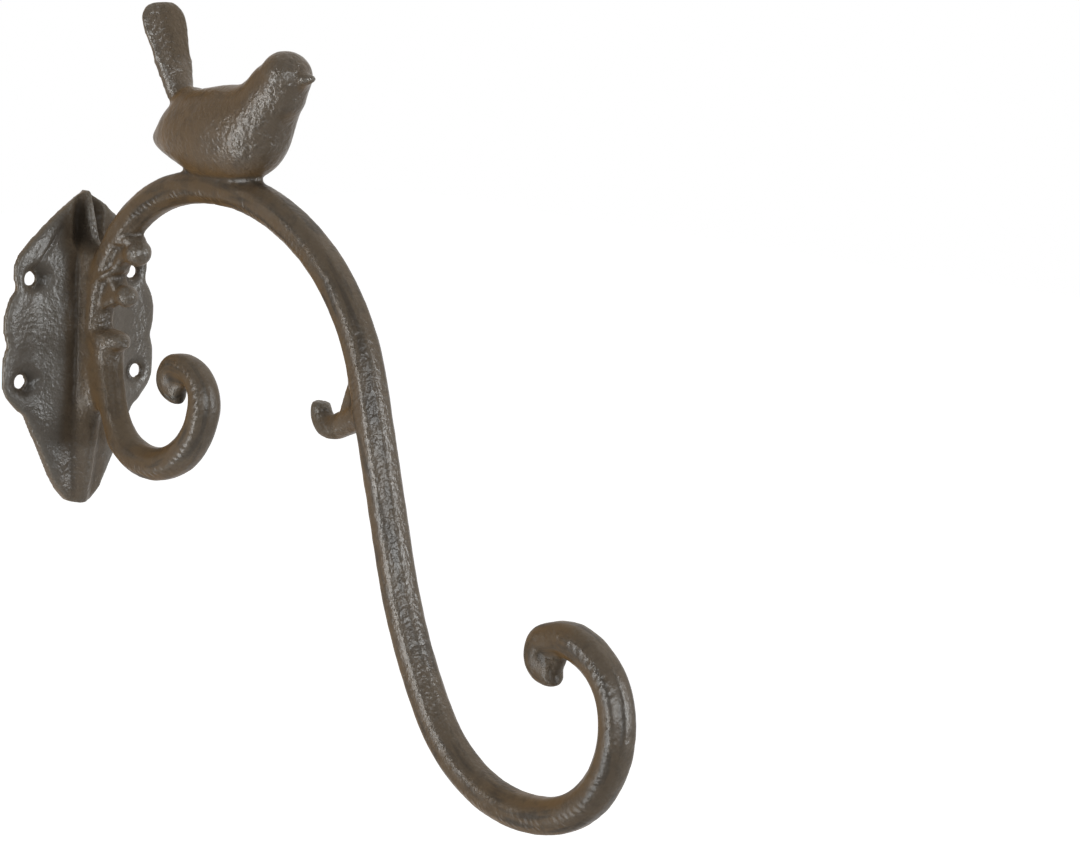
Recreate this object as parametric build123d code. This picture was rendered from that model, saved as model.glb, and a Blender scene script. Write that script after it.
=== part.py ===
# Wall hook cast in one piece: a leaf-shaped wall plate, a long S-shaped arm with a scrolled hook,
# a small scrolled hook below it and a bird on top of the arch.
# The back of the plate lies on Y = 0, the arm reaches out along -Y and Z is up.
# The origin is the middle of the four screw holes, and the casting is the same on both sides of X = 0.
from math import atan2, cos, degrees, radians, sin, tan
import os

from build123d import *

# Bars: octagonal, measured across flats
arch_bar = 10.7
arm_bar = 12.7
bowl_bar = 11.9
arm_tip_bar = 8.4
hook_bar = 11.5
hook_tip_bar = 7.6
eye_share = 0.7

# Arch of the arm, as distance out from the wall and height
arch_radius = 82.4
arch_out = 74.8
arch_up = -24.4
arch_start_angle = 106.0
arch_turn = 55.0
root_radius, root_turn = 57.0, 74.0
shoulder_radius, shoulder_turn = 75.5, 35.0

# Long hook below the arch: a straight, then bends that tighten towards the scroll
drop_length = 61.6
sway_radius, sway_turn = 170.0, 17.9
heel_radius, heel_turn = 51.3, 71.0
bowl_radius, bowl_turn = 34.3, 82.5
rise_radius, rise_turn = 24.4, 70.6
crown_radius, crown_turn = 20.0, 25.0
crown_flat = 3.5
scroll_radius, scroll_turn = 5.8, 196.0

# Small hook, which grows from the spine of the plate
spine_out = 15.4
spine_lean = 12.0
spine_length = 26.3
small_heel_radius, small_heel_turn = 22.6, 82.0
small_bowl_radius, small_bowl_turn = 27.7, 76.9
small_rise_radius, small_rise_turn = 11.5, 101.0
small_crown_flat = 2.8
small_scroll_radius, small_scroll_turn = 5.0, 200.0

# Thorn on the wall side of the drop, measured down the drop from the end of the arch
thorn_down = 9.0
thorn_lean = 76.0
thorn_length = 17.7
thorn_radius, thorn_turn = 6.2, 130.0
thorn_bar = 11.2
thorn_tip_bar = 5.0
web_rise, web_reach, web_width = 19.0, 16.0, 7.6

# Leaf plate: half outline as (half width, height), from the peak to the blunt foot
leaf_peak = 49.0
leaf_foot = -64.3
shoulder = (28.3, 27.4)
upper_notch = (29.0, 15.3)
lower_notch = (32.6, -5.2)
lobe_end = (33.5, -22.4)
corner = (24.7, -30.8)
foot_start = (12.1, -54.8)
foot_end = (4.2, -63.8)
shoulder_bulge = (16.6, 37.9)
upper_bulge = (30.4, 21.8)
middle_bulge = (34.2, 4.4)
lower_bulge = (34.6, -13.6)
corner_bulge = (29.7, -27.0)
foot_bulge = (8.2, -60.2)

# Front of the plate: thin edges and sloping panels up to a crest along the middle
# Levels are (height, half width of the crest, crest, half width of its flank, flank)
edge_thickness = 1.8
panel_half, panel_thickness = 20.0, 3.2
rim_width = 5.2
rim_rise = 0.6
levels = [
    (51.0, 0.6, 3.6, 2.4, 3.0),
    (44.0, 0.8, 6.4, 3.0, 3.3),
    (32.5, 0.9, 10.0, 3.6, 4.2),
    (27.5, 4.5, 14.2, 6.5, 6.6),
    (-26.0, 4.5, 14.5, 6.5, 7.4),
    (-36.0, 1.5, 11.4, 6.0, 6.6),
    (-56.0, 1.2, 8.2, 4.6, 5.0),
    (-66.0, 1.0, 5.4, 4.0, 4.2),
]

# Screw holes, countersunk from the front
upper_spacing = 46.7
lower_spacing = 53.3
hole_row_gap = 36.8
hole_diameter = 4.7
shank_length = 0.9
sink_angle = 90.0

# Leaf tips and buds down the front of the spine
# Each is (out, height, half length, half depth, half width, tilt)
leaf_tips = [
    (25.6, 33.4, 8.6, 2.0, 5.6, 14.0),
    (17.9, 19.9, 8.8, 2.0, 5.8, 32.0),
    (17.8, -2.2, 10.2, 2.9, 6.3, 4.0),
]
buds = [
    (31.6, 30.2, 5.4, 5.0, 4.8, 0.0),
    (26.6, 14.0, 4.4, 4.0, 4.2, 0.0),
    (20.6, -4.6, 7.8, 1.5, 5.6, 2.0),
]
# Web behind the upper two buds, as (out, height)
bud_web = [(18.0, 36.0), (30.0, 34.0), (30.0, 28.0), (21.2, 22.6), (25.0, 14.0), (23.0, 11.0), (15.0, 8.0)]
bud_web_width = 7.4

# Bird: sections as (along the bird, above the arch, half height, half width, pitch)
bird_angle = 92.8
bird_pitch = 4.2
bird_sections = [
    (-29.5, 15.9, 2.2, 2.2, 10.0),
    (-24.4, 16.5, 6.2, 5.2, 9.0),
    (-17.5, 17.9, 10.4, 8.8, 7.0),
    (-9.0, 18.4, 14.2, 11.6, 5.0),
    (1.0, 18.3, 16.2, 13.2, 4.0),
    (11.0, 18.8, 16.8, 13.6, 9.0),
    (20.1, 20.6, 16.2, 13.0, 22.0),
    (27.1, 26.1, 13.1, 11.4, 36.0),
    (32.8, 33.0, 11.0, 9.8, 46.0),
    (37.0, 38.2, 8.2, 8.2, 50.0),
]
head_centre = (37.6, 38.3)
head_radius = 9.2
head_tilt = 50.0
beak_root = (41.0, 37.4)
beak_pitch = 3.6
beak_length = 11.0
beak_root_radius = 5.2
beak_tip_radius = 0.7
seat_along = 5.4
seat_half_length, seat_half_width = 18.8, 5.4
seat_height = 12.0

# Tail: a fan that leans back, with a crest down its front
tail_base = (-15.3, 24.2)
tail_lean = 17.0
tail_length = 40.6
tail_base_half, tail_fan_half = 3.4, 10.2
tail_fan_start = 33.0
tail_corner = (8.2, 38.4)
tail_edge = 2.4
tail_crest = 2.2
tail_root_crest = 3.6

side = Plane(origin=(0, 0, 0), x_dir=(0, -1, 0), z_dir=(-1, 0, 0))
front = Plane(origin=(0, 0, 0), x_dir=(1, 0, 0), z_dir=(0, -1, 0))


def run(start, heading, steps):
    """A tangent run in the side plane: each step is (radius, turn), or (length, 0) for a straight."""
    point = Vector(*start)
    direction = Vector(cos(radians(heading)), sin(radians(heading)))
    edges = []
    for size, turn in steps:
        if turn:
            edge = JernArc(start=point, tangent=direction, radius=size, arc_size=turn)
        else:
            edge = Line(point, point + direction * size)
        edges.append(edge)
        point, direction = edge @ 1, edge % 1
    return Wire(edges)


def end_of(path):
    """End point and heading of a run."""
    point, direction = path @ 1, path % 1
    return (point.X, point.Y), degrees(atan2(direction.Y, direction.X))


def octagon(path, place, across):
    """The bar's section square to a run, with a flat on each side."""
    spot = Plane(origin=path @ place, x_dir=(1, 0, 0), z_dir=path % place)
    return spot * RegularPolygon(across / 2, 8, major_radius=False, rotation=22.5)


def bar(path, across, tip_across):
    """An octagonal bar along a run in the side plane, which may thin towards its tip."""
    line = side * path
    ends = [octagon(line, 0, across), octagon(line, 1, tip_across)]
    if across == tip_across:
        return sweep(ends[0], path=line)
    return sweep(ends, path=line, multisection=True)


def scroll_eye(path, radius, width):
    """Web that closes the middle of a scroll, where its turn meets itself."""
    (out, up), heading = end_of(path)
    centre = (out - radius * sin(radians(heading)), up + radius * cos(radians(heading)))
    return side * Pos(*centre) * Cylinder(radius, width)


def on_arch(angle):
    """Point of the arch's middle line at an angle about its centre."""
    return arch_out + arch_radius * cos(radians(angle)), arch_up + arch_radius * sin(radians(angle))


def arch_root():
    """Foot of the arm: the point inside the spine where a run leads up into the arch."""
    out, up = on_arch(arch_start_angle)
    heading = radians(arch_start_angle - 90)
    centre_out = out + root_radius * sin(heading)
    centre_up = up - root_radius * cos(heading)
    start = heading + radians(root_turn)
    return centre_out - root_radius * sin(start), centre_up + root_radius * cos(start)


def arch_run():
    return run(arch_root(), arch_start_angle - 90 + root_turn, [
        (root_radius, -root_turn), (arch_radius, -arch_turn), (shoulder_radius, -shoulder_turn)])


def long_arm():
    arch = arch_run()
    hook = run(*end_of(arch), [
        (drop_length, 0), (sway_radius, sway_turn), (heel_radius, heel_turn),
        (bowl_radius, bowl_turn), (rise_radius, rise_turn)])
    scroll = run(*end_of(hook), [
        (crown_radius, crown_turn), (crown_flat, 0), (scroll_radius, scroll_turn)])
    eye = scroll_eye(scroll, scroll_radius, eye_share * arm_tip_bar)
    return bar(arch, arch_bar, arm_bar) + bar(hook, arm_bar, bowl_bar) + bar(scroll, bowl_bar, arm_tip_bar) + eye


def small_hook():
    bowl = run((spine_out, 0), spine_lean - 90, [
        (spine_length, 0), (small_heel_radius, small_heel_turn), (small_bowl_radius, small_bowl_turn)])
    scroll = run(*end_of(bowl), [
        (small_rise_radius, small_rise_turn), (small_crown_flat, 0), (small_scroll_radius, small_scroll_turn)])
    eye = scroll_eye(scroll, small_scroll_radius, eye_share * hook_tip_bar)
    return bar(bowl, hook_bar, hook_bar) + bar(scroll, hook_bar, hook_tip_bar) + eye


def web(corners, width):
    """A flat web in the side plane."""
    return extrude(side * make_face(Polyline(*corners, close=True)), width / 2, both=True)


def thorn():
    (out, up), fall = end_of(arch_run())
    root = (out + thorn_down * cos(radians(fall)), up + thorn_down * sin(radians(fall)))
    lean = fall - thorn_lean
    path = run(root, lean, [(thorn_length, 0), (thorn_radius, -thorn_turn)])
    above = (root[0] - web_rise * cos(radians(fall)), root[1] - web_rise * sin(radians(fall)))
    beside = (root[0] + web_reach * cos(radians(lean)), root[1] + web_reach * sin(radians(lean)))
    return bar(path, thorn_bar, thorn_tip_bar) + web([root, above, beside], web_width)


def leaf():
    """Front outline of the plate."""
    half = [
        ThreePointArc((0, leaf_peak), shoulder_bulge, shoulder),
        ThreePointArc(shoulder, upper_bulge, upper_notch),
        ThreePointArc(upper_notch, middle_bulge, lower_notch),
        ThreePointArc(lower_notch, lower_bulge, lobe_end),
        ThreePointArc(lobe_end, corner_bulge, corner),
        Line(corner, foot_start),
        ThreePointArc(foot_start, foot_bulge, foot_end),
        Line(foot_end, (0, leaf_foot)),
    ]
    return make_face(half + [mirror(edge, about=Plane.YZ) for edge in half])


def roof(rise):
    """Space under the front of the plate, lifted at the edges by a rise."""
    reach = lower_bulge[0] + rim_width
    sections = []
    for height, crest_half, crest, flank_half, flank in levels:
        right = [(reach, 0), (reach, edge_thickness + rise), (panel_half, panel_thickness + rise),
                 (flank_half, flank), (crest_half, crest)]
        left = [(-x, out) for x, out in reversed(right)]
        level = Plane(origin=(0, 0, height), x_dir=(1, 0, 0), z_dir=(0, 0, -1))
        sections.append(level * make_face(Polyline(*right, *left, close=True)))
    return loft(sections, ruled=True)


def plate():
    outline = leaf()
    depth = max(level[2] for level in levels)
    panel = extrude(front * outline, depth) & roof(0)
    band = outline - offset(outline, -rim_width)
    rim = extrude(front * band, depth) & roof(rim_rise)
    return panel + rim


def screw_holes():
    reach = panel_thickness + rim_rise
    mouth = hole_diameter / 2 + reach * tan(radians(sink_angle / 2))
    holes = []
    for height, spacing in ((hole_row_gap / 2, upper_spacing), (-hole_row_gap / 2, lower_spacing)):
        for x in (-spacing / 2, spacing / 2):
            shank = Cylinder(hole_diameter / 2, 2 * (shank_length + reach))
            cone = Pos(0, 0, shank_length) * Cone(
                hole_diameter / 2, mouth, reach, align=(Align.CENTER, Align.CENTER, Align.MIN))
            holes.append(front * Pos(x, height, 0) * (shank + cone))
    return holes


def lump(out, height, half_length, half_depth, half_width, tilt):
    """A rounded lump in the side plane."""
    ball = scale(Rot(0, 90, 0) * Sphere(1), by=(half_length, half_depth, half_width))
    return side * Pos(out, height) * Rot(0, 0, tilt) * ball


def on_bird(along, above, tilt):
    """A place in the bird's own side plane, with its foot on the arch."""
    foot = side.location * Pos(*on_arch(bird_angle)) * Rot(0, 0, bird_pitch)
    return foot * Pos(along, above) * Rot(0, 0, tilt)


def bird():
    sections = []
    for along, above, half_height, half_width, pitch in bird_sections:
        face = on_bird(along, above, pitch) * Rot(0, 90, 0)
        sections.append(face * Ellipse(half_width, half_height))
    head = on_bird(*head_centre, head_tilt) * Rot(0, 90, 0) * Sphere(head_radius)
    body = loft(sections) + head
    beak = on_bird(*beak_root, beak_pitch) * Rot(0, 90, 0) * Cone(
        beak_root_radius, beak_tip_radius, beak_length, align=(Align.CENTER, Align.CENTER, Align.MIN))
    seat = extrude(Ellipse(seat_half_length, seat_half_width), seat_height)
    return body + beak + on_bird(seat_along, 0, 0) * Rot(-90, 0, 0) * seat + tail()


def tail():
    place = on_bird(*tail_base, tail_lean) * Rot(0, 90, 0)
    half = [
        Line((0, 0), (tail_base_half, 0)),
        Line((tail_base_half, 0), (tail_fan_half, tail_fan_start)),
        ThreePointArc((tail_fan_half, tail_fan_start), tail_corner, (0, tail_length)),
    ]
    fan = make_face(half + [mirror(edge, about=Plane.YZ) for edge in half])
    reach = tail_fan_half + tail_edge
    sections = []
    for height, crest in ((0, tail_root_crest), (tail_length, tail_crest)):
        outline = Polyline((-reach, -tail_edge / 2), (reach, -tail_edge / 2), (reach, tail_edge / 2),
                           (0, tail_edge / 2 + crest), (-reach, tail_edge / 2), close=True)
        sections.append(Pos(0, height, 0) * Rot(90, 0, 0) * make_face(outline))
    wedge = loft(sections, ruled=True)
    return place * (extrude(fan, reach, both=True) & wedge)


casting = plate() + long_arm() + small_hook() + thorn() + bird()
casting += web(bud_web, bud_web_width)
for shape in leaf_tips + buds:
    casting += lump(*shape)
for hole in screw_holes():
    casting -= hole

os.makedirs("parts", exist_ok=True)
export_step(casting, "parts/hook_casting.step")
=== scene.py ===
# %% [markdown]
# # Cast-iron wall hook
# This lesson dresses a wall hook that is cast in one piece: a leaf-shaped plate, a long S-shaped arm,
# a small hook under it and a bird on the arch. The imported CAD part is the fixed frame, in metres, with
# the back of the plate on Y = 0 and Z up. We keep its box, so that the dressed part can be held to it.

# %% Load the frame
import math

import bmesh
import bpy
import numpy as np
from mathutils import Matrix, Vector, kdtree, noise


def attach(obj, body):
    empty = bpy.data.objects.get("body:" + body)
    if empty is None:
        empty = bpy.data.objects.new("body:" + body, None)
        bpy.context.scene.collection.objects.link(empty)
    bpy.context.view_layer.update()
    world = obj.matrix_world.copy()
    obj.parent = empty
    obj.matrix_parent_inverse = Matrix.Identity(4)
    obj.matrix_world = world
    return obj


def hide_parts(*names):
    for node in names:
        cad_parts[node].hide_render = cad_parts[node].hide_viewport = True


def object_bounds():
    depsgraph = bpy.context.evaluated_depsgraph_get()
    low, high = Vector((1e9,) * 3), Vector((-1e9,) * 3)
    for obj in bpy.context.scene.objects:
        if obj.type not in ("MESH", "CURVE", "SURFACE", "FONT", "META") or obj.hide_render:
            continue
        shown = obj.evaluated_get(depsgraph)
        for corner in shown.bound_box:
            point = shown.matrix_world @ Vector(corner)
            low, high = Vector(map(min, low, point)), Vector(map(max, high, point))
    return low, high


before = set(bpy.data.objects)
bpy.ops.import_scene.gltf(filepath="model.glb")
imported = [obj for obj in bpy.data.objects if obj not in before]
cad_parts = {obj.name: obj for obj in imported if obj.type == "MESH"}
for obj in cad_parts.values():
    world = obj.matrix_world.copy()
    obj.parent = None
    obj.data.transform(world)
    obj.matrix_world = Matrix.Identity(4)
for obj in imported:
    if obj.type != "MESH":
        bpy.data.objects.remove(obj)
cad_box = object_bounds()
MM = 0.001
print("CAD box, mm:", [[round(v / MM, 1) for v in corner] for corner in cad_box])

# %% [markdown]
# ## Camera
# The photograph was taken from the left of the arm and a little above it, with a long lens, so the hook
# shows little perspective. The hook stands at the left of the picture. A camera is turned by three plain
# rotations: round Z for the azimuth, round its own X for the elevation, and round its line of sight for
# the roll. We could aim it with a constraint, but plain rotations show which angle does what.

# %% Place the camera
camera_place = (-0.88745, -1.07623, 0.20804)
view_azimuth, view_elevation, view_roll = math.radians(46.43), math.radians(9.77), math.radians(2.92)
camera_data = bpy.data.cameras.new("photo_camera")
camera_data.sensor_fit = "HORIZONTAL"
camera_data.sensor_width = 36.0
camera_data.lens = 129.63
camera = bpy.data.objects.new("photo_camera", camera_data)
camera.matrix_world = (Matrix.Translation(camera_place)
                       @ Matrix.Rotation(-view_azimuth, 4, "Z")
                       @ Matrix.Rotation(math.pi / 2 - view_elevation, 4, "X")
                       @ Matrix.Rotation(view_roll, 4, "Z"))
bpy.context.collection.objects.link(camera)
bpy.context.scene.camera = camera
print("camera at", camera_place)

# %% [markdown]
# ## The casting's skin
# CAD gives true shapes with crisp edges. Sand casting softens every edge and fills every corner a little.
# We could bevel hundreds of edges, but one voxel remesh rounds them all at once, the way sand does. The
# copy is merged first, because a CAD mesh is loose triangles.

# %% Copy, merge and remesh the casting
voxel = 0.79 * MM
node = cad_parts["hook_casting"]
copy = bmesh.new()
copy.from_mesh(node.data)
bmesh.ops.remove_doubles(copy, verts=copy.verts, dist=0.001 * MM)
rough_mesh = bpy.data.meshes.new("rough_casting")
copy.to_mesh(rough_mesh)
copy.free()
rough = bpy.data.objects.new("rough_casting", rough_mesh)
bpy.context.collection.objects.link(rough)
remesh = rough.modifiers.new("sand", "REMESH")
remesh.mode = "VOXEL"
remesh.voxel_size = voxel
bpy.context.view_layer.update()
skin_mesh = bpy.data.meshes.new_from_object(rough.evaluated_get(bpy.context.evaluated_depsgraph_get()))
bpy.data.objects.remove(rough)
skin_mesh.name = "hook_skin"
skin = bpy.data.objects.new("hook_skin", skin_mesh)
bpy.context.collection.objects.link(skin)
skin_mesh.shade_smooth()
skin_mesh.materials.clear()
print("skin:", len(skin_mesh.vertices), "vertices,", len(skin_mesh.polygons), "faces")

# %% [markdown]
# ## Reading the mesh
# The next steps move vertices in code, many thousand at a time. A loop over them in Python would be slow, so
# their places and their edges are read into numpy arrays, and two helpers do what every step needs: the
# mean of each vertex's neighbours, and writing the places back to the mesh.

# %% Read the skin into arrays
count = len(skin_mesh.vertices)
place = np.empty(count * 3)
skin_mesh.vertices.foreach_get("co", place)
place = place.reshape(-1, 3)
edges = np.empty(len(skin_mesh.edges) * 2, dtype=np.int64)
skin_mesh.edges.foreach_get("vertices", edges)
first, second = edges.reshape(-1, 2).T
degree = np.maximum(np.bincount(first, minlength=count) + np.bincount(second, minlength=count), 1)


def neighbour_mean(values):
    """Mean of each vertex's neighbours, for one value or three per vertex."""
    if values.ndim == 2:
        return np.stack([neighbour_mean(column) for column in values.T], axis=1)
    total = np.bincount(first, weights=values[second], minlength=count)
    total += np.bincount(second, weights=values[first], minlength=count)
    return total / degree


def set_places():
    """Write the places to the mesh and read back its normals."""
    skin_mesh.vertices.foreach_set("co", place.ravel())
    skin_mesh.update()
    values = np.empty(count * 3)
    skin_mesh.vertices.foreach_get("normal", values)
    return values.reshape(-1, 3)


print("read", count, "vertices and", len(first), "edges")

# %% [markdown]
# ## Soft edges
# A remesh leaves small steps. Plain smoothing would take them off but would also shrink thin tips such as
# the beak. So each round moves a vertex towards the mean of its neighbours and then a little further back,
# which smooths without shrinking.

# %% Smooth the steps without shrinking
smooth_rounds = 16
pull, give_back = 0.50, 0.52
for _ in range(smooth_rounds):
    place += pull * (neighbour_mean(place) - place)
    place -= give_back * (neighbour_mean(place) - place)
normal = set_places()
print("smoothed box, mm:", (place.min(axis=0) / MM).round(1), (place.max(axis=0) / MM).round(1))

# %% [markdown]
# ## Lines along the bars
# Marks on the arm follow the bar: cross strokes and dark streaks run with it. For that each vertex needs to
# know how far along the bar it lies. The arm is a chain of tangent arcs in the side plane, so we walk along
# the chain in short steps. The sizes are those of the CAD part.

# %% Walk along the arm and the small hook
bar_step = 0.5


def walk(start, heading, steps):
    """Points (out, up) in mm along a tangent chain; each step is (radius, turn) or (length, 0)."""
    out, up = start
    angle = math.radians(heading)
    points = [(out, up)]
    for size, turn in steps:
        length = size * abs(math.radians(turn)) if turn else size
        pieces = max(1, round(length / bar_step))
        for _ in range(pieces):
            angle += math.radians(turn) / pieces / 2
            out += length / pieces * math.cos(angle)
            up += length / pieces * math.sin(angle)
            angle += math.radians(turn) / pieces / 2
            points.append((out, up))
    return points


arm_line = walk((10.8, 0.0), 90, [
    (57.0, -74.0), (82.4, -55.0), (75.5, -35.0), (61.6, 0), (170.0, 17.9), (51.3, 71.0),
    (34.3, 82.5), (24.4, 70.6), (20.0, 25.0), (3.5, 0), (5.8, 196.0)])
small_line = walk((15.4, 0.0), -78, [
    (26.3, 0), (22.6, 82.0), (27.7, 76.9), (11.5, 101.0), (2.8, 0), (5.0, 200.0)])
arm_length = bar_step * len(arm_line)
for name, points in (("arm", arm_line), ("small hook", small_line)):
    print(name, "ends at", [round(v, 1) for v in points[-1]], "mm")

# %% [markdown]
# ## Each vertex's place on its bar
# A tree of the line's points finds the nearest one for each vertex. From there we get two measures: along,
# the millimetres from the plate, and around, the degrees round the bar. A UV map could hold the same, but
# the remesh has none.

# %% Give each vertex its place along and around the nearest bar
line = np.array(arm_line + small_line) * MM
ahead = np.gradient(line, axis=0)
ahead /= np.linalg.norm(ahead, axis=1, keepdims=True)
tree = kdtree.KDTree(len(line))
for index, (line_out, line_up) in enumerate(line):
    tree.insert((0.0, -line_out, line_up), index)
tree.balance()
nearest = np.array([tree.find((0.0, y, z))[1] for _, y, z in place])
offset = np.stack([-place[:, 1], place[:, 2]], axis=1) - line[nearest]
forward = (offset * ahead[nearest]).sum(axis=1)
outward = offset[:, 1] * ahead[nearest, 0] - offset[:, 0] * ahead[nearest, 1]
reach = np.sqrt(outward ** 2 + forward ** 2 + place[:, 0] ** 2) / MM
along = nearest * bar_step + forward / MM
around = np.degrees(np.arctan2(outward, np.abs(place[:, 0])))
print("along the bars, mm:", round(along.min(), 1), "to", round(along.max(), 1))

# %% [markdown]
# ## Masks
# A mask says how much a vertex belongs to a region: 1 inside, 0 outside, and a soft edge between, so that no
# step shows where a region ends. Vertex groups painted by hand could do it. Masks worked out from the
# distance to the wall (out), the height (up) and the distance from the middle (side) are exact.

# %% Tell bars, spine and plate apart
out, up, side = -place[:, 1] / MM, place[:, 2] / MM, np.abs(place[:, 0]) / MM


def fade(value, none, full):
    """A mask that is 0 up to one value, 1 from another on, and even between; it may rise or fall."""
    return np.clip((value - none) / (full - none), 0, 1)


on_spine = fade(out, 36, 32) * fade(up, 44, 40) * fade(up, -12, -8)
on_bar = fade(reach, 8, 7) * (1 - on_spine)
near_plate = fade(out, 14, 11)
off_back = fade(out, 1.5, 2.5)
print("vertices on a bar:", int((on_bar > 0.5).sum()), "of", count)

# %% [markdown]
# ## Round bars
# The CAD bar is an octagon. On the real arm its edges are worn nearly round. Plain smoothing rounds them but
# makes the bar thinner, so we measure how much it took off and put that back along the normals.

# %% Round the bars' edges and put back what that takes off
bar_rounds = 7


def soften(points, weight, rounds):
    """Plain smoothing of part of the skin, done in place."""
    for _ in range(rounds):
        points += 0.5 * weight[:, None] * (neighbour_mean(points) - points)


before = place.copy()
soften(place, on_bar, bar_rounds)
loss = ((before - place) * normal).sum(axis=1)
bar_loss = loss[on_bar > 0.9].mean()
place += normal * (on_bar * bar_loss)[:, None]
normal = set_places()
print("rounding took off", round(bar_loss / MM, 3), "mm on average")

# %% [markdown]
# ## Softer ends, neck and plate
# The scrolls end in smooth knobs, the small hook leaves the spine with a smooth neck, and the wings of the
# plate are gently hollow. These need more smoothing than the rest. A sculpting brush would do it by hand;
# here each region has its mask and its number of rounds.

# %% Soften the scrolls' ends, the neck, the plate's wings and its rim
for end_out, end_up in (arm_line[-1], small_line[-1]):
    scroll_end = fade(np.hypot(out - end_out, up - end_up), 9, 6)
    soften(place, scroll_end, 26)
past_root = along - arm_length
neck = on_bar * fade(past_root, 2, 6) * fade(past_root, 40, 32)
soften(place, neck, 40)
beside_keel = fade(side, 9, 12)
wing = fade(-normal[:, 1], 0.35, 0.65) * off_back * near_plate * beside_keel
soften(place, wing, 45)
rim = near_plate * fade(out, 0.8, 1.6) * beside_keel
soften(place, rim, 8)
print("softened vertices:", int((neck + wing > 0.5).sum()))

# %% [markdown]
# ## Bird and lowest leaf
# The bird's tail is a thin blade with a smooth rim, its body is plain and round, and its throat runs in one
# line from the beak to the breast. Under the spine the lowest leaf turns out in a soft lip. The same
# smoothing does both. The beak lies outside the masks and stays sharp.

# %% Soften the bird and the leaf's lip
on_tail = fade(up, 99, 102) * fade(out, 57, 55)
soften(place, on_tail, 20)
on_bird = fade(up, 77, 81) * fade(out, 50, 54) * fade(out, 113, 109)
soften(place, on_bird, 14)
throat_out, throat_up = 112, 90
soften(place, fade(np.hypot(out - throat_out, up - throat_up), 9, 5), 36)
lip = fade(up, 3, 0) * fade(up, -40, -34) * fade(out, 36, 32) * fade(out, 9, 12) * fade(side, 9, 7)
soften(place, lip, 24)
below_lip = lip * fade(up, -9, -12)
soften(place, below_lip, 60)
normal = set_places()
print("bird vertices:", int((on_bird > 0.5).sum()), "lip vertices:", int((lip > 0.5).sum()))

# %% [markdown]
# ## Thorn
# The thorn on the drop of the arm ends in a blunt curl. The CAD part makes it a little thin there, so its
# end is thickened along the normals, fading out towards the arm.

# %% Thicken the thorn's end
thorn_growth = 0.9
thorn = (out > 60) & (out < 140) & (np.abs(up) < 40) & (reach > 8)
tip = np.argmin(np.where(thorn, out, np.inf))
from_tip = np.hypot(out - out[tip], up - up[tip])
place += normal * (thorn_growth * thorn * fade(from_tip, 14, 9))[:, None] * MM
normal = set_places()
print("thorn's tip at out", round(out[tip], 1), "up", round(up[tip], 1), "mm")

# %% [markdown]
# ## Small cast details of the plate
# Three details are too small for the CAD part. Each screw hole lies in a shallow dish. A groove sets off a
# hatched rim at the plate's shoulder. At the top a thin crest stands between two hollows. All are soft dips,
# so vertices near them are pushed in square to the wall, and only on the plate's front.

# %% Plan the dishes round the screw holes
dish_radius, dish_depth, dish_shift = 6.4, 1.6, 2.2


def dip(distance, radius):
    """A soft round profile: 1 in the middle, 0 at the radius."""
    return np.clip(1 - (distance / radius) ** 2, 0, 1) ** 2


dish = np.zeros(count)
for hole_side, hole_up in ((23.35, 18.4), (26.65, -18.4)):
    dish += dip(np.hypot(side - hole_side + dish_shift, up - hole_up), dish_radius)
push = -dish_depth * dish
print("vertices in a dish:", int((dish > 0.1).sum()))

# %% Plan the groove and the hatched rim past it
groove_start, groove_end = np.array((11.5, 36.8)), np.array((21.4, 22.8))
groove_depth, groove_radius, hatch_period = 0.6, 1.3, 2.4
groove_run = groove_end - groove_start
groove_length = np.linalg.norm(groove_run)
from_start = np.stack([side, up], axis=1) - groove_start
down_groove = from_start @ groove_run / groove_length
share = np.clip(down_groove / groove_length, 0, 1)
from_groove = np.linalg.norm(from_start - share[:, None] * groove_run, axis=1)
push -= groove_depth * dip(from_groove, groove_radius)
past_groove = from_start @ np.array((-groove_run[1], groove_run[0])) / groove_length
band = fade(past_groove, 0.8, 1.8) * fade(past_groove, 6.5, 4.5) * (share > 0) * (share < 1)
band *= 0.6 + 0.4 * np.sin(down_groove * 2 * math.pi / hatch_period)
print("groove of", round(groove_length, 1), "mm")

# %% Plan the crest's hollows and press everything in
hollow_depth = 2.6
crest_height = fade(up, 22, 28) * fade(up, 52, 40)
beside_crest = crest_height * fade(side, 7.5, 3.5)
push -= hollow_depth * beside_crest * fade(side, 0.2, 1.8)
near_crest = fade(out, 20, 17) * fade(out, 1.2, 2.2)
# This mask of the hollows beside the crest gets painted shade and less gloss.
crest_side_shade = beside_crest * fade(side, 0.6, 1.2) * near_crest
# This mask of the crest's edge gets more gloss and a painted highlight.
crest_highlight = crest_height * dip(side, 1.3) * near_crest
facing_front = fade(-normal[:, 1], 0, 0.4) * off_back
place[:, 1] -= push * facing_front * near_plate * MM
print("pressed in by up to", round(-push.min(), 2), "mm")

# %% [markdown]
# ## The tail's root
# Where the tail stands on the bird's back the iron runs in a fillet. A CAD fillet on such a thin blade often
# fails, so the corner is raised here and smoothed.

# %% Fill the corner at the tail's root
root_out, root_up = 56, 89.5
root_radius, root_fill = 7.0, 2.2
tail_root = dip(np.hypot(out - root_out, up - root_up), root_radius) * fade(normal[:, 2], 0, 0.3)
place[:, 2] += root_fill * tail_root * MM
soften(place, np.sqrt(tail_root), 10)
normal = set_places()
print("vertices in the fillet:", int((tail_root > 0.1).sum()))
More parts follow.
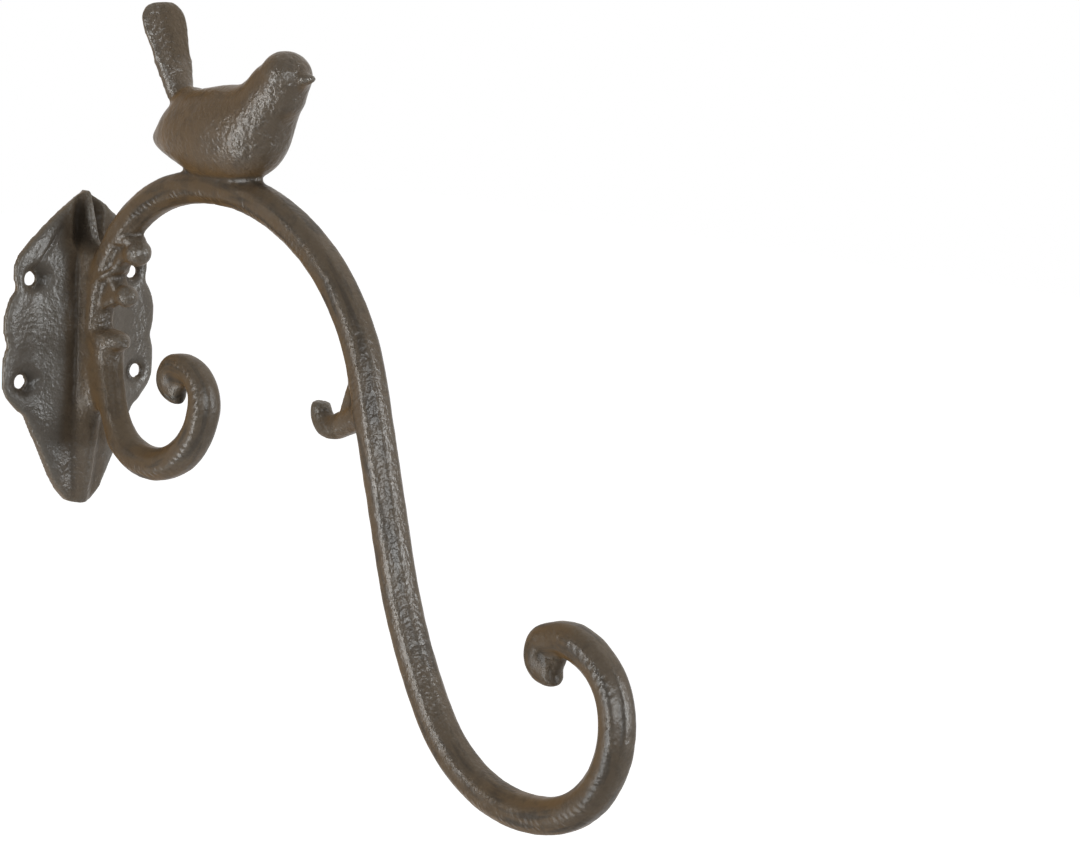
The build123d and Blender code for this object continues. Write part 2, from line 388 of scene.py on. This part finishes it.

# %% [markdown]
# ## Cast texture
# A sand casting has a grain of under a millimetre, and longer, softer waves from the mould and from filing.
# A coarser grain of about 2 mm and the waves are moved into the mesh along its normals, so that outlines and
# highlights break up as on the real one. The flat back stays flat, because it lies on the wall, and the thin
# tail is calmer.

# %% Move the grain into the mesh
wave_height, wave_size = 0.13 * MM, 6.0 * MM
grain_height, grain_size = 0.05 * MM, 2.2 * MM
back_depth = 0.9 * MM
lift = np.empty(count)
for index, point in enumerate(place):
    spot = Vector(point)
    lift[index] = (wave_height * noise.noise(spot / wave_size)
                   + grain_height * noise.noise(spot / grain_size + Vector((7, 3, 5))))
front = np.clip(-place[:, 1] / back_depth - 0.5, 0, 1)
place += normal * (lift * front * (1 - 0.7 * on_tail))[:, None]
normal = set_places()
print("texture between", round(lift.min() / MM, 3), "and", round(lift.max() / MM, 3), "mm")

# %% [markdown]
# ## Where it wears, where it rusts and where shade is painted
# High edges are rubbed to grey metal and hollows are darkened as painted shade. Both follow the curvature,
# which we read from the mesh: the mean of a vertex's neighbours lies below it on a ridge and above it in a
# hollow. The crest's edge gets the same grey as a painted highlight, and the dishes round the holes, the
# hollows beside the crest and the thorn are darkened as painted shade. Sides that face the wall or the
# ground are sheltered, and rust a little. Painting this by hand would be slower and would not follow a
# change of shape.

# %% Measure ridges, hollows and sheltered sides
broad = place.copy()
for _ in range(10):
    broad = neighbour_mean(broad)
bulge = np.einsum("ij,ij->i", place - broad, normal) / MM
for _ in range(2):
    bulge = neighbour_mean(bulge)
on_plate = near_plate * (1 - on_bar) * fade(out, 1.2, 2.2)
ridge_wear_and_highlight = fade(bulge, 0.10, 0.60)
# The crest's edge joins the ridges, so it gets a painted highlight in the grey of the wear.
ridge_wear_and_highlight = np.maximum(ridge_wear_and_highlight, np.maximum(crest_highlight, 0.8 * band * on_plate))
# Concave places are darkened as painted shade.
hollow_shade = fade(-bulge, 0.03, 0.38)
# The dishes round the screw holes are darkened as painted shade, and so are the hollows beside the crest.
hollow_shade = np.maximum(hollow_shade, np.maximum(0.9 * dish * on_plate, crest_side_shade))
# The thorn is darkened as painted shade.
hollow_shade = np.maximum(hollow_shade, 0.3 * thorn)
to_wall = fade(normal[:, 1], -0.35, 0.35)
to_ground = fade(-normal[:, 2], 0.45, 0.85)
sheltered = np.clip(to_wall + 0.8 * to_ground, 0, 1)
print("bulge from", round(bulge.min(), 2), "to", round(bulge.max(), 2), "mm")

# %% [markdown]
# ## Where it shines
# The drop of the arm and the rise of each hook are polished by use, and the arch and the bowls are dull. So
# the gloss changes along the bar. On the plate the wings shine and the keel, the dishes and the hollows
# don't.

# %% Set the gloss along the bars and on the plate
arm_shine = np.interp(along, (100, 130, 155, 185, 215, 285, 320, 360, 400, 440, 470),
                      (0.5, 0.8, 0.6, 0.6, 1.05, 1.0, 0.7, 0.45, 0.6, 0.9, 0.4))
small_shine = np.interp(past_root, (30, 55, 80, 110), (0.12, 0.5, 0.9, 0.5))
shine = np.where(along < arm_length, arm_shine, small_shine) * on_bar + (1 - on_bar)
keel = fade(up, -45, -40) * fade(side, 13, 10) * on_plate
shine *= (1 - 0.3 * on_spine) * (1 - 0.75 * keel) * (1 - 0.8 * dish * on_plate) * (1 + 0.35 * wing)
shine = np.maximum(shine * (1 - 0.8 * crest_side_shade), 1.8 * crest_highlight) * (1 - 0.7 * sheltered)
tail_front = on_tail * fade(place[:, 0] / MM, -4.5, -2.5)
shine *= (1 - 0.75 * tail_front) * (1 - 0.6 * thorn)
print("gloss between", round(shine.min(), 2), "and", round(shine.max(), 2))

# %% [markdown]
# ## Where it is rough
# The bird and the leaves keep coarse pits, while the bars are fine and gritty, most of all on the drop.
# Dark streaks run along the bars. All these measures become attributes of the mesh, which the material
# reads, so that the pattern stays on the surface.

# %% Set pits, grit and streaks, and store all measures
pits = (1.15 - 0.95 * on_bar) * (1 - 0.6 * on_plate) * (1 - 0.6 * sheltered)
streaky = on_bar * np.where(along < arm_length, 1, fade(past_root, 40, 55))
bar_grit = np.interp(along, (0, 150, 200, 330, 380), (0.7, 0.8, 1.3, 1.3, 0.5))
bar_grit += 0.6 * (past_root > 0) * fade(past_root, 50, 30)
grit = (1 - 0.85 * sheltered) * (1 - 0.2 * on_plate) * (1 + (bar_grit - 1) * on_bar)
measures = {"along": along, "around": around, "on_bar": on_bar, "ridge_wear_and_highlight": ridge_wear_and_highlight, "hollow_shade": hollow_shade,
            "sheltered": sheltered, "shine": shine, "pits": pits, "grit": grit, "wing": wing,
            "streaky": streaky}
for name, values in measures.items():
    layer = skin_mesh.attributes.new(name, "FLOAT", "POINT")
    layer.data.foreach_set("value", values.astype(np.float32))
print("stored", len(measures), "measures")

# %% [markdown]
# ## Finish
# The iron has a waxed brown patina. Its colour drifts between brown and rust, its hollows are darkened as
# painted shade and its ridges are greyer from wear, with a painted highlight on the crest. We build it from
# a few small helpers, each of which adds one node, so that the material reads like a recipe. Noise on object
# coordinates stays put when the hook is moved.

# %% Start the patina and its helpers
patina = bpy.data.materials.new("brown_patina")
patina.use_nodes = True
nodes, links = patina.node_tree.nodes, patina.node_tree.links
surface = nodes["Principled BSDF"]
coords = nodes.new("ShaderNodeTexCoord")


def cloud(scale_mm, detail, roughness=0.6):
    """Noise on object coordinates with features of a given size."""
    texture = nodes.new("ShaderNodeTexNoise")
    texture.inputs["Scale"].default_value = 1 / (scale_mm * MM)
    texture.inputs["Detail"].default_value = detail
    texture.inputs["Roughness"].default_value = roughness
    links.new(coords.outputs["Object"], texture.inputs["Vector"])
    return texture.outputs["Fac"]


def stretch(value, low, high, to_low=0.0, to_high=1.0):
    """Map a range of a value onto another, clamped."""
    node = nodes.new("ShaderNodeMapRange")
    node.inputs["From Min"].default_value = low
    node.inputs["From Max"].default_value = high
    node.inputs["To Min"].default_value = to_low
    node.inputs["To Max"].default_value = to_high
    links.new(value, node.inputs["Value"])
    return node.outputs["Result"]


def measured(name):
    """One of the skin's own attributes."""
    node = nodes.new("ShaderNodeAttribute")
    node.attribute_name = name
    return node.outputs["Fac"]


def times(a, b):
    """Product of two values, either of which may be a plain number."""
    node = nodes.new("ShaderNodeMath")
    node.operation = "MULTIPLY"
    for socket, value in zip(node.inputs, (a, b)):
        if isinstance(value, (int, float)):
            socket.default_value = value
        else:
            links.new(value, socket)
    return node.outputs[0]


print("patina helpers are ready")

# %% [markdown]
# ## Colour
# One colour lies over another: rust on sheltered sides, dark iron in clouds and streaks, the same dark as
# painted shade in the hollows, a greyer brown on the plate's wings that also paints part of their sheen, and
# bare grey in specks on the ridges, which on the crest is a painted highlight. A mix node for each keeps
# them apart, so that one can be changed without the others.

# %% Mix the colour
brown = (0.099, 0.075, 0.051)
# A dark tone for clouds and streaks, also used as painted shade in the hollows.
dark_iron_and_shade = (0.042, 0.034, 0.026)
rust_brown = (0.138, 0.083, 0.036)
# Grey for rubbed metal on the ridges, also used as a painted highlight on the crest.
bare_grey_and_highlight = (0.19, 0.18, 0.16)
# A greyer brown for the plate's wings, which also paints part of their sheen.
wing_grey_and_sheen = (0.108, 0.096, 0.080)
streaks_per_mm, streaks_per_degree = 0.05, 0.03


def blend(factor, base, top):
    """Mix two colours, each a socket or three numbers."""
    node = nodes.new("ShaderNodeMix")
    node.data_type = "RGBA"
    links.new(factor, node.inputs["Factor"])
    for socket, value in ((node.inputs["A"], base), (node.inputs["B"], top)):
        if isinstance(value, tuple):
            socket.default_value = (*value, 1)
        else:
            links.new(value, socket)
    return node.outputs["Result"]


bar_place = nodes.new("ShaderNodeCombineXYZ")
links.new(times(measured("along"), streaks_per_mm), bar_place.inputs["X"])
links.new(times(measured("around"), streaks_per_degree), bar_place.inputs["Y"])
streak = nodes.new("ShaderNodeTexNoise")
streak.inputs["Scale"].default_value = 1.0
streak.inputs["Detail"].default_value = 4
links.new(bar_place.outputs[0], streak.inputs["Vector"])
streaks = times(stretch(streak.outputs["Fac"], 0.50, 0.64, 0, 0.7), measured("streaky"))
rust = times(measured("sheltered"), stretch(cloud(14, 3), 0.30, 0.60, 0.7, 1.0))
# Grey specks: wear on the ridges, and a painted highlight on the crest.
worn_and_highlight = times(measured("ridge_wear_and_highlight"), stretch(cloud(1.0, 3), 0.40, 0.60, 0.1, 0.5))
colour = blend(rust, brown, rust_brown)
colour = blend(stretch(cloud(5.0, 4), 0.50, 0.72, 0, 0.40), colour, dark_iron_and_shade)
colour = blend(streaks, colour, dark_iron_and_shade)
# The wings' greyer brown also paints part of their sheen.
colour = blend(times(measured("wing"), 0.7), colour, wing_grey_and_sheen)
# Painted shade: the hollows are darkened.
colour = blend(times(measured("hollow_shade"), 0.8), colour, dark_iron_and_shade)
colour = blend(worn_and_highlight, colour, bare_grey_and_highlight)
links.new(colour, surface.inputs["Base Color"])
print("colour nodes:", len(nodes))

# %% [markdown]
# ## Gloss and grain
# The light bands on the iron are no paint: they are gloss, broken up by the grain. So the gloss is weak and
# follows the measured shine, and three layers of bump break it up: coarse pits, fine grit, and cross strokes
# along one edge of the bars. The strokes are slanted and wobble, as if cut by hand.

# %% Set the gloss and stack the bump
gloss_level = 0.18
stroke_period, stroke_slant, stroke_wobble = 2.6, 0.04, 3.0


def add_times(value, factor, rest):
    """A value times a plain number, added to another value."""
    node = nodes.new("ShaderNodeMath")
    node.operation = "MULTIPLY_ADD"
    node.inputs[1].default_value = factor
    links.new(value, node.inputs[0])
    links.new(rest, node.inputs[2])
    return node.outputs[0]


def bump(height, distance_mm, strength, below=None):
    """A bump layer on top of another one."""
    node = nodes.new("ShaderNodeBump")
    node.inputs["Distance"].default_value = distance_mm * MM
    links.new(strength, node.inputs["Strength"])
    links.new(height, node.inputs["Height"])
    if below:
        links.new(below, node.inputs["Normal"])
    return node.outputs["Normal"]


links.new(times(measured("shine"), gloss_level), surface.inputs["Specular IOR Level"])
links.new(stretch(cloud(1.6, 3), 0.35, 0.68, 0.28, 0.40), surface.inputs["Roughness"])
slanted = add_times(measured("around"), stroke_slant, measured("along"))
stroke_place = add_times(cloud(6, 2), stroke_wobble, slanted)
strokes = nodes.new("ShaderNodeMath")
strokes.operation = "SINE"
links.new(times(stroke_place, 2 * math.pi / stroke_period), strokes.inputs[0])
on_edge = times(stretch(measured("around"), -50, -30), stretch(measured("around"), 4, -14))
stroke_strength = times(times(on_edge, measured("on_bar")), stretch(cloud(9, 2), 0.40, 0.60))
grain = bump(cloud(3.0, 2), 0.65, measured("pits"))
grain = bump(cloud(1.4, 1, 0.5), 0.27, measured("grit"), grain)
grain = bump(stretch(strokes.outputs[0], -1, 1), 0.23, stroke_strength, grain)
links.new(grain, surface.inputs["Normal"])
skin_mesh.materials.append(patina)
print("patina nodes:", len(nodes))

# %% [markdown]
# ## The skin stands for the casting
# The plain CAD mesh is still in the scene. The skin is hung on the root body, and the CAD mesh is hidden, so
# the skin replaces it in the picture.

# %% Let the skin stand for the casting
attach(skin, "root")
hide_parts("hook_casting")
print("the skin replaces hook_casting")

# %% [markdown]
# ## World
# The hook is shown in front of plain white, as in a light tent. More light on the object would wash out its
# colour. So the world has two faces: white to the camera and in reflections, and weaker as a light.

# %% Make the world
ambient_strength = 0.36
plain_white = (1, 1, 1, 1)


def white_to_camera(tree, light, shown):
    """Mix a shader that lights the scene with a white one for camera, gloss and clear rays."""
    path = tree.nodes.new("ShaderNodeLightPath")
    seen = path.outputs["Is Camera Ray"]
    for name in ("Is Glossy Ray", "Is Transmission Ray"):
        either = tree.nodes.new("ShaderNodeMath")
        either.operation = "MAXIMUM"
        tree.links.new(seen, either.inputs[0])
        tree.links.new(path.outputs[name], either.inputs[1])
        seen = either.outputs[0]
    mix = tree.nodes.new("ShaderNodeMixShader")
    tree.links.new(seen, mix.inputs["Fac"])
    tree.links.new(light, mix.inputs[1])
    tree.links.new(shown, mix.inputs[2])
    return mix.outputs[0]


world = bpy.data.worlds.new("light_tent")
bpy.context.scene.world = world
world.use_nodes = True
tent = world.node_tree
tent.nodes.clear()
ambient = tent.nodes.new("ShaderNodeBackground")
ambient.inputs["Color"].default_value = plain_white
ambient.inputs["Strength"].default_value = ambient_strength
white = tent.nodes.new("ShaderNodeBackground")
white.inputs["Color"].default_value = plain_white
white.inputs["Strength"].default_value = 1.0
world_out = tent.nodes.new("ShaderNodeOutputWorld")
tent.links.new(white_to_camera(tent, ambient.outputs[0], white.outputs[0]), world_out.inputs["Surface"])
print("world lights at", ambient_strength)

# %% [markdown]
# ## Floor
# A white sheet lies well below the hook, as under a hook that is held up for its picture. It is matt paper
# that glows a little for the camera, so it looks white and still takes a soft shadow.

# %% Lay the floor
floor_drop, floor_size, floor_glow = 0.75, 6, 0.75
floor_height = cad_box[0][2] - floor_drop
floor_mesh = bpy.data.meshes.new("floor")
floor_shape = bmesh.new()
bmesh.ops.create_grid(floor_shape, x_segments=1, y_segments=1, size=floor_size)
bmesh.ops.translate(floor_shape, verts=floor_shape.verts, vec=(0, 0, floor_height))
floor_shape.to_mesh(floor_mesh)
floor_shape.free()
floor = bpy.data.objects.new("floor", floor_mesh)
bpy.context.collection.objects.link(floor)
paper = bpy.data.materials.new("white_paper")
paper.use_nodes = True
sheet = paper.node_tree
matt = sheet.nodes["Principled BSDF"]
matt.inputs["Base Color"].default_value = (0.85, 0.85, 0.85, 1)
matt.inputs["Roughness"].default_value = 0.9
glow = sheet.nodes.new("ShaderNodeEmission")
glow.inputs["Color"].default_value = plain_white
glow.inputs["Strength"].default_value = floor_glow
lit = sheet.nodes.new("ShaderNodeAddShader")
sheet.links.new(matt.outputs[0], lit.inputs[0])
sheet.links.new(glow.outputs[0], lit.inputs[1])
paper_face = white_to_camera(sheet, matt.outputs[0], lit.outputs[0])
sheet.links.new(paper_face, sheet.nodes["Material Output"].inputs["Surface"])
floor_mesh.materials.append(paper)
print("floor at", round(floor_height / MM), "mm")

# %% [markdown]
# ## Lamps
# Two tall soft boxes at the sides and one above light the iron at a plain level. Three more lamps are seen
# only in the gloss. They draw the bright bands on the bars and the bird, and leave the colour alone. One
# strong lamp could do both jobs, but then colour and gloss could not be set apart.

# %% Hang the lamps
glint_colour = (0.92, 0.97, 1.0)


def soft_lamp(name, turn, rise, width, height, power, away=1.2):
    """An area lamp that faces the hook; turn is from the camera's side to its right, in degrees."""
    data = bpy.data.lights.new(name, "AREA")
    data.shape = "RECTANGLE"
    data.size, data.size_y = width, height
    data.energy = power
    lamp = bpy.data.objects.new(name, data)
    middle = Vector((0, -0.12, 0))
    bearing = math.atan2(camera_place[1] - middle.y, camera_place[0]) + math.radians(turn)
    tilt = math.radians(rise)
    ray = Vector((math.cos(tilt) * math.cos(bearing), math.cos(tilt) * math.sin(bearing), math.sin(tilt)))
    aim = ray.to_track_quat("Z", "Y").to_matrix().to_4x4()
    lamp.matrix_world = Matrix.Translation(middle + away * ray) @ aim
    bpy.context.collection.objects.link(lamp)
    return lamp


soft_lamp("left_box", -62, 0, 0.35, 0.75, 7)
soft_lamp("right_box", 67, 9, 0.35, 0.80, 5)
top_box = soft_lamp("top_box", 120, 60, 0.60, 0.60, 9)
top_box.visible_glossy = False
for glint in (soft_lamp("left_glint", -63, -16, 0.46, 1.35, 39),
              soft_lamp("right_glint", 67, 5, 0.35, 0.95, 24),
              soft_lamp("camera_glint", 5, 6, 0.75, 0.70, 42, away=1.8)):
    glint.visible_diffuse = False
    glint.data.color = glint_colour
bpy.context.scene.view_settings.view_transform = "Standard"
print("lamps:", len(bpy.data.lights))
